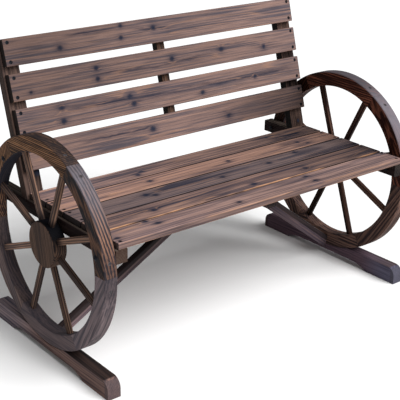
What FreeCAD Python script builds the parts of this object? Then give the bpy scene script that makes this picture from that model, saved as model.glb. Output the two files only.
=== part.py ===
import FreeCAD, Part
import math
import os

# Two-seat garden bench of charred fir whose arms and legs are two spoked wagon wheels.
# The wheels stand on arched runner feet and carry the seat rails and the leaning back posts.
# Frame: X along the seat, the sitter faces -Y, Z up. The origin is on the ground, midway
# between the wheels and straight below their hubs. Lengths are millimetres, angles degrees.

# Fits shared by every joint
fit_clearance = 0.2
cut_overrun = 5.0
parallel_tolerance = 1e-6

# Main sizes: the seat rails cross each wheel a set height over its hub
bench_width = 1050.0
seat_height = 390.0
seat_over_hub = 86.0

# Wheels: a rim of doweled felloes, straight spokes and a solid hub
rim_width = 41.0
rim_thickness = 36.5
rim_chamfer = 1.8
felloe_count = 6
felloe_joint_gap = 0.4
felloe_first_angle = -2.0
hub_diameter = 119.0
hub_chamfer = 2.5
spoke_count = 8
spoke_first_angle = 22.5
spoke_width = 17.0
spoke_thickness = 13.0
spoke_edge_radius = 4.0
spoke_tenon_diameter = 9.0
hub_tenon_length = 22.0
rim_tenon_length = 12.0
felloe_dowel_diameter = 10.0
felloe_dowel_length = 92.0
felloe_screw_angle = 7.5
right_wheel_turn_angle = 2.5

# Runner feet under the wheels
foot_overhang = 5.0
foot_height = 48.5
rim_sink = 14.5
arch_length = 330.0
arch_rise = 15.6
arch_end_radius = 80.0
foot_nose_radius = 26.0

# Seat: planks across two side rails and a middle bearer
seat_front_inset = 6.0
seat_back_reach = 122.0
plank_count = 5
plank_gap = 4.5
plank_thickness = 16.5
plank_end_gap = 7.5
plank_edge_radius = 2.5
rail_width = 32.0
rail_height = 34.0
rail_back_inset = 3.0
rail_edge_radius = 2.0
bearer_width = 30.0
bearer_height = 18.0
bearer_end_inset = 13.0

# Back: slats on two leaning end posts and a middle batten
back_tilt_angle = 16.5
slat_count = 4
slat_width = 68.0
slat_gap = 18.7
slat_thickness = 20.0
slat_end_gap = 5.5
slat_edge_radius = 2.5
lowest_slat_rise = 58.5
post_seat_clearance = 0.5
post_width = 50.0
post_depth = 25.0
post_edge_radius = 2.0
post_top_drop = 4.0
batten_width = 26.5
batten_depth = 21.5
batten_end_inset = 6.0

# Diagonal braces from the wheel bottoms to the middle of the seat, in one forward-leaning plane
brace_width = 33.0
brace_thickness = 16.5
brace_edge_radius = 2.0
brace_foot_height = 39.7
brace_foot_forward = 1.0
brace_head_forward = 80.0
brace_head_offset = 26.0

# Bolts with domed heads that hold each wheel to its rail and post
bolt_diameter = 6.0
bolt_head_diameter = 14.5
bolt_head_height = 3.2
nut_width = 10.0
nut_height = 5.0
bolt_nut_reach = 2.0
bolt_rim_inset = 29.5

# Countersunk wood screws
screw_diameter = 4.0
screw_head_diameter = 9.5
screw_head_height = 2.6
screw_head_sink = 0.6
felloe_screw_length = 25.0
plank_screw_length = 38.0
plank_screw_inset = 11.5
plank_screw_edge = 10.0
slat_screw_length = 36.0
slat_screw_inset = 13.0
slat_screw_edge = 10.0
batten_screw_length = 34.0
batten_screw_edge = 17.0
bearer_screw_length = 28.0
foot_screw_length = 46.0
foot_screw_spacing = 80.0
brace_foot_screw_length = 58.0
brace_foot_screw_offset = 35.0
brace_seat_screw_length = 33.0
brace_seat_screw_offset = 38.0

# Places that follow from the sizes above
wheel_height = seat_height - seat_over_hub
wheel_radius = wheel_height - foot_height + rim_sink
hub_radius = hub_diameter / 2
rim_inner_radius = wheel_radius - rim_width
rim_middle_radius = wheel_radius - rim_width / 2
wheel_inner_x = bench_width / 2 - rim_thickness
foot_length = 2 * (wheel_radius + foot_overhang)
plank_underside = seat_height - plank_thickness
rail_underside = plank_underside - rail_height
rail_middle = plank_underside - rail_height / 2
rail_back_reach = wheel_radius - rail_back_inset
seat_front_reach = wheel_radius - seat_front_inset
seat_depth = seat_front_reach + seat_back_reach
plank_width = (seat_depth - (plank_count - 1) * plank_gap) / plank_count
back_lean = math.tan(math.radians(back_tilt_angle))
post_front_y = seat_back_reach + post_seat_clearance + plank_thickness * back_lean
back_front_y = post_front_y - slat_thickness / math.cos(math.radians(back_tilt_angle))
slat_pitch = slat_width + slat_gap
back_top = lowest_slat_rise + slat_count * slat_width + (slat_count - 1) * slat_gap
post_inner_x = wheel_inner_x - post_width
plank_length = 2 * (wheel_inner_x - plank_end_gap)
slat_length = 2 * (wheel_inner_x - slat_end_gap)
bolt_circle_radius = wheel_radius - bolt_rim_inset
rail_bolt_reach = math.sqrt(bolt_circle_radius**2 - (rail_middle - wheel_height) ** 2)
brace_climb = plank_underside - brace_foot_height
brace_lean = math.atan2(brace_head_forward - brace_foot_forward, brace_climb)
brace_rise = math.atan2(brace_climb / math.cos(brace_lean), wheel_inner_x - brace_head_offset)

V = FreeCAD.Vector
ALONG_X = V(1, 0, 0)
ALONG_Y = V(0, 1, 0)
ALONG_Z = V(0, 0, 1)
ORIGIN = V(0, 0, 0)


def bar(low, high, edge_radius, along):
    """Straight stick between two corners with its four long edges rounded."""
    size = high.sub(low)
    box = Part.makeBox(size.x, size.y, size.z, low)
    long_edges = [
        edge
        for edge in box.Edges
        if edge.Curve.Direction.cross(along).Length < parallel_tolerance
    ]
    return box.makeFillet(edge_radius, long_edges)


def block(low, high):
    """Plain box between two corners."""
    size = high.sub(low)
    return Part.makeBox(size.x, size.y, size.z, low)


def mirrored(shape):
    """The same shape on the other side of the bench."""
    return shape.mirror(ORIGIN, ALONG_X)


def both_sides(shapes):
    """Shapes of the right side together with their mirror images."""
    return shapes + [mirrored(shape) for shape in shapes]


def turned(shape, angle):
    """The shape turned about the wheel's own axis, from +Y towards +Z."""
    copy = shape.copy()
    copy.rotate(ORIGIN, ALONG_X, angle)
    return copy


def cut_all(shape, tools):
    """The shape less every tool that reaches it."""
    near = [tool for tool in tools if tool.BoundBox.intersect(shape.BoundBox)]
    return shape.cut(near).removeSplitter() if near else shape


def leaned(shape):
    """A shape drawn on an upright back, leaned to the back's tilt.

    Drawn with Y behind the slats' front face and Z up the back from seat height.
    """
    copy = shape.copy()
    copy.rotate(ORIGIN, ALONG_X, -back_tilt_angle)
    copy.translate(V(0, back_front_y, seat_height))
    return copy


# Fasteners


def screw(head, direction, length, clearance):
    """Countersunk screw from its head's face; clearance above zero makes its hole."""
    head_radius = screw_head_diameter / 2 + clearance
    shank_radius = screw_diameter / 2 + clearance
    cone = Part.makeCone(head_radius, shank_radius, screw_head_height, head, direction)
    shank = Part.makeCylinder(shank_radius, length + clearance, head, direction)
    solid = cone.fuse(shank)
    if clearance > 0:
        back = head - direction * cut_overrun
        solid = solid.fuse(Part.makeCylinder(head_radius, cut_overrun, back, direction))
    return solid


def screws(places, clearance):
    """One screw for each place, given as head point, direction and length."""
    return [screw(head, direction, length, clearance) for head, direction, length in places]


def bolt(place, clearance):
    """Domed bolt through a wheel's rim, from its head's underside at the outer face."""
    head, reach = place
    radius = bolt_diameter / 2 + clearance
    inward = V(-1, 0, 0)
    shank = Part.makeCylinder(radius, reach, head, inward)
    if clearance > 0:
        return shank
    dome_radius = (bolt_head_diameter**2 / 4 + bolt_head_height**2) / (2 * bolt_head_height)
    dome_centre = head + V(bolt_head_height - dome_radius, 0, 0)
    dome = Part.makeSphere(dome_radius, dome_centre)
    cap = Part.makeCylinder(bolt_head_diameter / 2, bolt_head_height, head, ALONG_X)
    return shank.fuse(dome.common(cap))


def nut(place):
    """Hexagon nut run up against the inner side of the rail or post."""
    head, reach = place
    corner_radius = nut_width / math.sqrt(3)
    seat_x = head.x - reach + bolt_nut_reach + nut_height
    corners = []
    for index in range(6 + 1):
        angle = math.radians(index * 60)
        across = corner_radius * math.cos(angle)
        up = corner_radius * math.sin(angle)
        corners.append(V(seat_x, head.y + across, head.z + up))
    hexagon = Part.Face(Part.makePolygon(corners)).extrude(V(-nut_height, 0, 0))
    bore_radius = bolt_diameter / 2 + fit_clearance
    return hexagon.cut(Part.makeCylinder(bore_radius, reach, head, V(-1, 0, 0)))


def post_bolt_point():
    """Where the post's centre line crosses the circle of bolts on the right wheel."""
    depth_level = post_depth / math.cos(math.radians(back_tilt_angle))
    start_y = post_front_y + depth_level / 2 + (wheel_height - seat_height) * back_lean
    spread = 1 + back_lean**2
    up = (math.sqrt(bolt_circle_radius**2 * spread - start_y**2) - start_y * back_lean) / spread
    return V(bench_width / 2, start_y + up * back_lean, wheel_height + up)


def bolt_places():
    """Head points of the right wheel's bolts, each with its reach past the nut."""
    rail_reach = rim_thickness + rail_width + nut_height + bolt_nut_reach
    post_reach = rim_thickness + post_width + nut_height + bolt_nut_reach
    return [
        (V(bench_width / 2, -rail_bolt_reach, rail_middle), rail_reach),
        (V(bench_width / 2, rail_bolt_reach, rail_middle), rail_reach),
        (post_bolt_point(), post_reach),
    ]


def plank_back_y(index):
    """Back edge of a seat plank, counted from the back."""
    return seat_back_reach - index * (plank_width + plank_gap)


def plank_screw_places():
    """Two screws at each plank's right end, down into the rail."""
    head_z = seat_height - screw_head_sink
    x = plank_length / 2 - plank_screw_inset
    places = []
    for index in range(plank_count):
        back_y = plank_back_y(index)
        for y in (back_y - plank_screw_edge, back_y - plank_width + plank_screw_edge):
            places.append((V(x, y, head_z), V(0, 0, -1), plank_screw_length))
    return places


def bearer_screw_places():
    """One screw up through the bearer into each plank."""
    head_z = plank_underside - bearer_height + screw_head_sink
    return [
        (V(0, plank_back_y(index) - plank_width / 2, head_z), ALONG_Z, bearer_screw_length)
        for index in range(plank_count)
    ]


def slat_rise(index):
    """Lower edge of a slat up the back from seat height, counted from the top."""
    return lowest_slat_rise + (slat_count - 1 - index) * slat_pitch


def slat_screw_places():
    """Two screws at each slat's right end, straight back into the post."""
    x = slat_length / 2 - slat_screw_inset
    places = []
    for index in range(slat_count):
        low = slat_rise(index)
        for rise in (low + slat_screw_edge, low + slat_width - slat_screw_edge):
            places.append((V(x, screw_head_sink, rise), ALONG_Y, slat_screw_length))
    return places


def batten_screw_places():
    """Two screws through the batten into each slat, driven from behind."""
    y = slat_thickness + batten_depth - screw_head_sink
    places = []
    for index in range(slat_count):
        low = slat_rise(index)
        for rise in (low + batten_screw_edge, low + slat_width - batten_screw_edge):
            places.append((V(0, y, rise), V(0, -1, 0), batten_screw_length))
    return places


def foot_screw_places():
    """Two screws up through the right foot's arch into the rim."""
    x = wheel_inner_x + rim_thickness / 2
    z = arch_rise + screw_head_sink
    return [
        (V(x, y, z), ALONG_Z, foot_screw_length)
        for y in (-foot_screw_spacing / 2, foot_screw_spacing / 2)
    ]


def brace_underside(x):
    """Point in the middle of the right brace's sloping underside at a given x."""
    up = (wheel_inner_x - x) * math.tan(brace_rise) - brace_width / 2 / math.cos(brace_rise)
    back = brace_thickness / 2
    y = -brace_foot_forward - up * math.sin(brace_lean) + back * math.cos(brace_lean)
    z = brace_foot_height + up * math.cos(brace_lean) + back * math.sin(brace_lean)
    return V(x, y, z)


def brace_screw_places():
    """One screw from the right brace's underside into the wheel and one up into the seat."""
    foot_head = brace_underside(wheel_inner_x - brace_foot_screw_offset)
    seat_head = brace_underside(brace_seat_screw_offset)
    return [
        (foot_head + ALONG_X * screw_head_height, ALONG_X, brace_foot_screw_length),
        (seat_head + ALONG_Z * screw_head_height, ALONG_Z, brace_seat_screw_length),
    ]


# Wheel pieces, drawn about the X axis with the inner face at X zero


def felloe():
    """One length of rim: a chamfered section swept round the wheel's axis."""
    corners = []
    for x, r, side_x, side_r in (
        (0, rim_inner_radius, 1, 1),
        (rim_thickness, rim_inner_radius, -1, 1),
        (rim_thickness, wheel_radius, -1, -1),
        (0, wheel_radius, 1, -1),
    ):
        on_face = V(x, r + side_r * rim_chamfer, 0)
        on_round = V(x + side_x * rim_chamfer, r, 0)
        corners += [on_face, on_round] if side_x == side_r else [on_round, on_face]
    section = Part.Face(Part.makePolygon(corners + corners[:1]))
    gap_angle = math.degrees(felloe_joint_gap / wheel_radius)
    sweep_angle = 360 / felloe_count - gap_angle
    return turned(section.revolve(ORIGIN, ALONG_X, sweep_angle), gap_angle / 2)


def hub():
    """Solid turned hub as thick as the rim, with both face edges chamfered."""
    drum = Part.makeCylinder(hub_radius, rim_thickness, ORIGIN, ALONG_X)
    rims = [edge for edge in drum.Edges if isinstance(edge.Curve, Part.Circle)]
    return drum.makeChamfer(hub_chamfer, rims)


def spoke_tenon(clearance):
    """Round tenon that runs the spoke's length; clearance above zero makes its sockets."""
    start = hub_radius - hub_tenon_length - clearance
    end = rim_inner_radius + rim_tenon_length + clearance
    foot = V(rim_thickness / 2, start, 0)
    return Part.makeCylinder(spoke_tenon_diameter / 2 + clearance, end - start, foot, ALONG_Y)


def spoke():
    """Straight stick with rounded edges, shouldered to the hub and the rim."""
    middle = rim_thickness / 2
    low = V(middle - spoke_thickness / 2, 0, -spoke_width / 2)
    high = V(middle + spoke_thickness / 2, wheel_radius, spoke_width / 2)
    stick = bar(low, high, spoke_edge_radius, ALONG_Y)
    hub_room = Part.makeCylinder(hub_radius + fit_clearance, rim_thickness, ORIGIN, ALONG_X)
    rim_room = Part.makeCylinder(rim_inner_radius - fit_clearance, rim_thickness, ORIGIN, ALONG_X)
    return stick.common(rim_room).cut(hub_room).fuse(spoke_tenon(0)).removeSplitter()


def felloe_dowel(clearance):
    """Dowel across a felloe joint; clearance above zero makes its hole."""
    half_length = felloe_dowel_length / 2 + clearance
    start = V(rim_thickness / 2, rim_middle_radius, -half_length)
    return Part.makeCylinder(felloe_dowel_diameter / 2 + clearance, 2 * half_length, start, ALONG_Z)


def felloe_screws(clearance):
    """Two screws in from the rim, one each side of a joint, that pin the joint's dowel."""
    head = V(rim_thickness / 2, wheel_radius - screw_head_sink, 0)
    pin = screw(head, V(0, -1, 0), felloe_screw_length, clearance)
    return [turned(pin, angle) for angle in (-felloe_screw_angle, felloe_screw_angle)]


def wheel(side, turn_angle, place):
    """All pieces of one wheel in place, as node names and shapes."""
    spoke_angles = [
        turn_angle + spoke_first_angle + index * 360 / spoke_count for index in range(spoke_count)
    ]
    joint_angles = [
        turn_angle + felloe_first_angle + index * 360 / felloe_count for index in range(felloe_count)
    ]
    sockets = [turned(spoke_tenon(fit_clearance), angle) for angle in spoke_angles]
    joint_holes = Part.makeCompound([felloe_dowel(fit_clearance)] + felloe_screws(fit_clearance))
    holes = sockets + [turned(joint_holes, angle) for angle in joint_angles]
    dowel = felloe_dowel(0).cut(felloe_screws(fit_clearance))
    pins = Part.makeCompound(felloe_screws(0))

    pieces = {side + "_hub": place(hub().cut(sockets))}
    for index, angle in enumerate(joint_angles):
        pieces[side + "_felloe_" + str(index + 1)] = place(turned(felloe(), angle).cut(holes))
    for index, angle in enumerate(spoke_angles):
        pieces[side + "_spoke_" + str(index + 1)] = place(turned(spoke(), angle))
    dowels = [place(turned(dowel, angle)) for angle in joint_angles]
    pinned = [place(turned(pins, angle)) for angle in joint_angles]
    return pieces, dowels, pinned


def right_wheel_place(shape):
    """Moves a wheel piece to the right end of the bench."""
    copy = shape.copy()
    copy.translate(V(wheel_inner_x, 0, wheel_height))
    return copy


def left_wheel_place(shape):
    """Moves a wheel piece to the left end, inner face to inner face."""
    return mirrored(right_wheel_place(shape))


# Foot, rail, post and brace of the right side


def foot():
    """Runner with rounded noses, an arched underside and a cradle for the rim."""
    half = foot_length / 2
    arch_half = arch_length / 2
    arc_angle = math.acos((arch_end_radius - arch_rise) / arch_end_radius)
    arch_flat = arch_half - arch_end_radius * math.sin(arc_angle)
    nose_y = half - foot_nose_radius
    nose_z = foot_height - foot_nose_radius
    nose_share = math.sqrt(1 / 2)

    def arch_arc(side):
        bend_y = arch_flat + arch_end_radius * math.sin(arc_angle / 2)
        bend_z = arch_rise - arch_end_radius * (1 - math.cos(arc_angle / 2))
        points = [(arch_half, 0), (bend_y, bend_z), (arch_flat, arch_rise)]
        return [V(wheel_inner_x, side * y, z) for y, z in points]

    def nose_arc(side):
        bend_y = nose_y + foot_nose_radius * nose_share
        bend_z = nose_z + foot_nose_radius * nose_share
        points = [(half, nose_z), (bend_y, bend_z), (nose_y, foot_height)]
        return [V(wheel_inner_x, side * y, z) for y, z in points]

    front_arch, back_arch = arch_arc(-1), arch_arc(1)
    front_nose, back_nose = nose_arc(-1), nose_arc(1)
    front_toe = V(wheel_inner_x, -half, 0)
    back_toe = V(wheel_inner_x, half, 0)
    outline = Part.Wire([
        Part.LineSegment(front_toe, front_arch[0]).toShape(),
        Part.Arc(*front_arch).toShape(),
        Part.LineSegment(front_arch[2], back_arch[2]).toShape(),
        Part.Arc(*reversed(back_arch)).toShape(),
        Part.LineSegment(back_arch[0], back_toe).toShape(),
        Part.LineSegment(back_toe, back_nose[0]).toShape(),
        Part.Arc(*back_nose).toShape(),
        Part.LineSegment(back_nose[2], front_nose[2]).toShape(),
        Part.Arc(*reversed(front_nose)).toShape(),
        Part.LineSegment(front_nose[0], front_toe).toShape(),
    ])
    runner = Part.Face(outline).extrude(V(rim_thickness, 0, 0))
    cradle_start = V(wheel_inner_x - cut_overrun, 0, wheel_height)
    cradle_length = rim_thickness + 2 * cut_overrun
    cradle = Part.makeCylinder(wheel_radius + fit_clearance, cradle_length, cradle_start, ALONG_X)
    return runner.cut(cradle)


def rail():
    """Side rail under the plank ends, against the inner face of the wheel."""
    low = V(wheel_inner_x - rail_width, -seat_front_reach, rail_underside)
    high = V(wheel_inner_x, rail_back_reach, plank_underside)
    return bar(low, high, rail_edge_radius, ALONG_Y)


def post():
    """Leaning post, halved over the rail so that a tongue runs down the rail's inner side."""
    low = V(post_inner_x, slat_thickness, -seat_height)
    high = V(wheel_inner_x, slat_thickness + post_depth, back_top - post_top_drop)
    stick = leaned(bar(low, high, post_edge_radius, ALONG_Z))
    rail_inner_x = wheel_inner_x - rail_width - fit_clearance
    past_x = wheel_inner_x + cut_overrun
    notch = block(V(rail_inner_x, -bench_width, -bench_width), V(past_x, bench_width, plank_underside))
    waste = block(V(0, -bench_width, -bench_width), V(past_x, bench_width, rail_underside))
    return stick.cut([notch, waste])


def brace():
    """Slanting bar cut plumb at the wheel and at the bearer, and level under the seat."""
    low = V(-bench_width, 0, -brace_width / 2)
    high = V(bench_width, brace_thickness, brace_width / 2)
    stick = bar(low, high, brace_edge_radius, ALONG_X)
    stick.rotate(ORIGIN, ALONG_Y, math.degrees(brace_rise))
    stick.rotate(ORIGIN, ALONG_X, math.degrees(brace_lean))
    stick.translate(V(wheel_inner_x, -brace_foot_forward, brace_foot_height))
    low = V(bearer_width / 2 + fit_clearance, -bench_width, 0)
    high = V(wheel_inner_x, bench_width, plank_underside)
    return stick.common(block(low, high))


# Seat and back pieces across the bench


def seat_plank(index):
    """Seat plank with rounded long edges, counted from the back."""
    back_y = plank_back_y(index)
    low = V(-plank_length / 2, back_y - plank_width, plank_underside)
    high = V(plank_length / 2, back_y, seat_height)
    return bar(low, high, plank_edge_radius, ALONG_X)


def centre_bearer():
    """Bearer under the middle of the planks, short of both seat edges."""
    low = V(-bearer_width / 2, -seat_front_reach + bearer_end_inset, plank_underside - bearer_height)
    high = V(bearer_width / 2, seat_back_reach - bearer_end_inset, plank_underside)
    return bar(low, high, rail_edge_radius, ALONG_Y)


def back_slat(index):
    """Back slat with rounded long edges, upright, counted from the top."""
    low = V(-slat_length / 2, 0, slat_rise(index))
    high = V(slat_length / 2, slat_thickness, slat_rise(index) + slat_width)
    return bar(low, high, slat_edge_radius, ALONG_X)


def back_batten():
    """Upright batten behind the middle of the slats."""
    low = V(-batten_width / 2, slat_thickness, lowest_slat_rise + batten_end_inset)
    high = V(batten_width / 2, slat_thickness + batten_depth, back_top - batten_end_inset)
    return bar(low, high, post_edge_radius, ALONG_Z)


# Putting the bench together

plank_screws = plank_screw_places()
slat_screws = slat_screw_places()
batten_screws = batten_screw_places()
bearer_screws = bearer_screw_places()
foot_screws = foot_screw_places()
brace_screws = brace_screw_places()
bolts = bolt_places()

plank_holes = both_sides(screws(plank_screws, fit_clearance)) + screws(bearer_screws, fit_clearance)
slat_holes = both_sides(screws(slat_screws, fit_clearance)) + screws(batten_screws, fit_clearance)
leaned_slat_holes = [leaned(hole) for hole in slat_holes]
foot_holes = screws(foot_screws, fit_clearance)
brace_holes = both_sides(screws(brace_screws, fit_clearance))
bolt_holes = both_sides([bolt(place, fit_clearance) for place in bolts])
wheel_holes = both_sides(foot_holes) + brace_holes + bolt_holes

nodes = {}

right_pieces, right_dowels, right_pins = wheel("right", right_wheel_turn_angle, right_wheel_place)
left_pieces, left_dowels, left_pins = wheel("left", 0, left_wheel_place)
for name, shape in {**left_pieces, **right_pieces}.items():
    nodes[name] = cut_all(shape, wheel_holes)
nodes["felloe_dowels"] = Part.makeCompound(left_dowels + right_dowels)
nodes["felloe_screws"] = Part.makeCompound(left_pins + right_pins)

side_pieces = {
    "foot": cut_all(foot(), wheel_holes),
    "rail": cut_all(rail(), plank_holes + bolt_holes),
    "post": cut_all(post(), leaned_slat_holes + bolt_holes),
    "brace": cut_all(brace(), brace_holes),
}
for name, shape in side_pieces.items():
    nodes["right_" + name] = shape
    nodes["left_" + name] = mirrored(shape)

for index in range(plank_count):
    plank = cut_all(seat_plank(index), plank_holes + brace_holes)
    nodes["seat_plank_" + str(index + 1)] = plank
nodes["centre_bearer"] = cut_all(centre_bearer(), plank_holes)

for index in range(slat_count):
    slat = leaned(cut_all(back_slat(index), slat_holes))
    nodes["back_slat_" + str(index + 1)] = slat
nodes["back_batten"] = leaned(cut_all(back_batten(), slat_holes))

nodes["plank_screws"] = Part.makeCompound(both_sides(screws(plank_screws, 0)))
nodes["slat_screws"] = leaned(Part.makeCompound(both_sides(screws(slat_screws, 0))))
nodes["batten_screws"] = leaned(Part.makeCompound(screws(batten_screws, 0)))
nodes["bearer_screws"] = Part.makeCompound(screws(bearer_screws, 0))
nodes["foot_screws"] = Part.makeCompound(both_sides(screws(foot_screws, 0)))
nodes["brace_screws"] = Part.makeCompound(both_sides(screws(brace_screws, 0)))
nodes["wheel_bolts"] = Part.makeCompound(both_sides([bolt(place, 0) for place in bolts]))
nodes["wheel_nuts"] = Part.makeCompound(both_sides([nut(place) for place in bolts]))

os.makedirs("parts", exist_ok=True)
for name, shape in nodes.items():
    shape.exportStep("parts/" + name + ".step")
print(len(nodes), "nodes,", sum(len(shape.Solids) for shape in nodes.values()), "solids")
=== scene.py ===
import math

import bpy
import numpy as np
from mathutils import Matrix, Vector


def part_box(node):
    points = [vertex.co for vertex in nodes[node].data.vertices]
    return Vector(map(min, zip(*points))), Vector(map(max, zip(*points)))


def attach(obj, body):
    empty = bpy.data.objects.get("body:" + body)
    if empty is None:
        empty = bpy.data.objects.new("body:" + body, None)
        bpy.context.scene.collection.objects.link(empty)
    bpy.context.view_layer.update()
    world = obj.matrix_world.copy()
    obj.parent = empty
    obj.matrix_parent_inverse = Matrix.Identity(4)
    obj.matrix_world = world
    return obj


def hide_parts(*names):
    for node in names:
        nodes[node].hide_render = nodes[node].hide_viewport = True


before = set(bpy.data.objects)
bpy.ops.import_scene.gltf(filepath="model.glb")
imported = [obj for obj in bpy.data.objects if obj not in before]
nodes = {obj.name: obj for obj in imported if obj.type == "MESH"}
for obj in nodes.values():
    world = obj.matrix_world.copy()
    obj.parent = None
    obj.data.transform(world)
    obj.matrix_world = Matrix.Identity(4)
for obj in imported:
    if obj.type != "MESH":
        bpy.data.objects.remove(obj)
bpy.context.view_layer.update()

# Wheel rims. Each rim is six felloes sawn from straight fir boards, so the grain runs straight
# through a felloe while the felloe curves away from it. The wood is scorched, brushed and oiled,
# which leaves golden early wood between dark stripes. The upper tread is grey from weather and
# from a painted sheen.


def add_node(tree, kind, inputs=None, **settings):
    """A shader node with its settings made and its inputs linked or set."""
    node = tree.nodes.new("ShaderNode" + kind)
    for name, value in settings.items():
        setattr(node, name, value)
    for name, value in (inputs or {}).items():
        if isinstance(value, bpy.types.NodeSocket):
            tree.links.new(value, node.inputs[name])
        else:
            node.inputs[name].default_value = value
    return node


def calc(tree, operation, *values):
    """The result of a Math node on one to three values."""
    return add_node(tree, "Math", dict(enumerate(values)), operation=operation).outputs[0]


def vector(tree, operation, *values):
    """The result of a Vector Math node on one to three vectors; a length comes out as a number."""
    node = add_node(tree, "VectorMath", dict(enumerate(values)), operation=operation)
    return node.outputs["Value" if operation == "LENGTH" else "Vector"]


def parts_of(tree, place):
    """A place's three parts, one for each axis."""
    return add_node(tree, "SeparateXYZ", {0: place}).outputs


def smooth(tree, value, low, high):
    """Zero below low, one above high and an even curve between them."""
    span = {"Value": value, "From Min": low, "From Max": high}
    return add_node(tree, "MapRange", span, interpolation_type="SMOOTHSTEP").outputs[0]


def ramp(tree, value, span, first, last):
    """The first number before a span, the last one after it and an even curve between them."""
    more = calc(tree, "SUBTRACT", last, first)
    return calc(tree, "MULTIPLY_ADD", smooth(tree, value, *span), more, first)


def band(tree, value, rise, fall):
    """One between the span where it rises and the span where it falls, and zero outside them."""
    return calc(tree, "SUBTRACT", smooth(tree, value, *rise), smooth(tree, value, *fall))


def bell(tree, value, steep):
    """One at zero, falling off on both sides: e to the power of minus steep times value squared."""
    square = calc(tree, "MULTIPLY", value, value)
    return calc(tree, "EXPONENT", calc(tree, "MULTIPLY", square, -steep))


def mix_colour(tree, share, first, second, how="MIX"):
    """The first colour with a share of the second mixed in."""
    node = add_node(tree, "Mix", {0: share, 6: first, 7: second}, data_type="RGBA", blend_type=how)
    return node.outputs[2]


def plain_grey(tree, value):
    """A grey as light as the value."""
    return add_node(tree, "CombineColor", {0: value, 1: value, 2: value}).outputs[0]


def cloud(tree, place, scale, detail):
    """Noise with as many waves a metre in every direction."""
    return add_node(tree, "TexNoise", {"Vector": place, "Scale": scale, "Detail": detail}).outputs[0]


def streaks(tree, place, stretch, detail):
    """Noise drawn out along the grain: few waves a metre along X and many across it."""
    drawn = vector(tree, "MULTIPLY", place, stretch)
    noise = {"Vector": drawn, "Scale": 1.0, "Detail": detail, "Roughness": 0.6}
    return add_node(tree, "TexNoise", noise).outputs[0]


def new_group(name, takes, gives):
    """An empty node group with named inputs and outputs, and the sockets of its inputs inside it."""
    group = bpy.data.node_groups.new(name, "ShaderNodeTree")
    for way, kinds in (("INPUT", takes), ("OUTPUT", gives)):
        for kind, sockets in kinds.items():
            for socket in sockets:
                group.interface.new_socket(socket, in_out=way, socket_type="NodeSocket" + kind)
    return group, group.nodes.new("NodeGroupInput").outputs


def put_out(group, results):
    """Links a node group's results to its outputs."""
    put = group.nodes.new("NodeGroupOutput").inputs
    for name, result in results.items():
        group.links.new(result, put[name])


def placed(tree, group, given):
    """The outputs of a node group placed in a material with its own values."""
    return add_node(tree, "Group", given, node_tree=group).outputs


def knot_group():
    """One branch knot: a dark oval core, its scorched tails and the pull it gives to the rings.

    Distance is measured from the knot's centre in the board's plane, in knot sizes, and drawn in
    along the grain, so the core is an oval. The tails fade along the grain, and the pull is a bell.
    """
    takes = {"Vector": ("Board", "Centre"), "Float": ("Size",)}
    group, given = new_group("fir knot", takes, {"Float": ("Core", "Tail", "Pull")})
    away = vector(group, "SUBTRACT", given["Board"], given["Centre"])
    oval = vector(group, "MULTIPLY", away, (0.85, 1.0, 0.0))
    far = calc(group, "DIVIDE", vector(group, "LENGTH", oval), given["Size"])
    ragged = calc(group, "MULTIPLY_ADD", cloud(group, given["Board"], 160.0, 3.0), 1.2, far)
    core = calc(group, "SUBTRACT", 1.0, smooth(group, ragged, 0.9, 2.5))
    pull = bell(group, far, 0.16)
    along, across, _ = parts_of(group, away)
    tail_length = calc(group, "MULTIPLY", given["Size"], 7.0)
    tail_width = calc(group, "MULTIPLY", given["Size"], 0.8)
    run = calc(group, "DIVIDE", calc(group, "ABSOLUTE", along), tail_length)
    beside = calc(group, "DIVIDE", across, tail_width)
    fall = calc(group, "MULTIPLY_ADD", beside, beside, run)
    tail = calc(group, "EXPONENT", calc(group, "MULTIPLY", fall, -1.0))
    tail = calc(group, "MULTIPLY_ADD", pull, 0.45, calc(group, "MULTIPLY", tail, 0.25))
    put_out(group, {"Core": core, "Tail": tail, "Pull": pull})
    return group


def scorch_group():
    """One long scorch mark: a bell across a line that climbs evenly from its start to its finish.

    The line wavers with drawn-out noise, the mark fades over a third of its length at both
    ends, and a finer noise breaks it into threads.
    """
    takes = {"Vector": ("Board", "Start", "Finish"), "Float": ("Width",)}
    group, given = new_group("scorch mark", takes, {"Float": ("Mark",)})
    along, across, _ = parts_of(group, given["Board"])
    start_x, start_y, _ = parts_of(group, given["Start"])
    finish_x, finish_y, _ = parts_of(group, given["Finish"])
    gone = calc(group, "SUBTRACT", along, start_x)
    share = calc(group, "DIVIDE", gone, calc(group, "SUBTRACT", finish_x, start_x))
    climb = calc(group, "SUBTRACT", finish_y, start_y)
    middle = calc(group, "MULTIPLY_ADD", climb, share, start_y)
    waver = streaks(group, given["Board"], (14.0, 20.0, 20.0), 3.0)
    middle = calc(group, "MULTIPLY_ADD", waver, 0.016, calc(group, "SUBTRACT", middle, 0.008))
    off = calc(group, "DIVIDE", calc(group, "SUBTRACT", across, middle), given["Width"])
    fade = band(group, share, (0.0, 0.35), (0.65, 1.0))
    thread = smooth(group, streaks(group, given["Board"], (6.0, 260.0, 260.0), 3.0), 0.35, 0.6)
    mark = calc(group, "MULTIPLY", bell(group, off, 1.0), fade)
    mark = calc(group, "MULTIPLY", mark, calc(group, "MULTIPLY_ADD", thread, 0.5, 0.4))
    put_out(group, {"Mark": mark})
    return group


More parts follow.
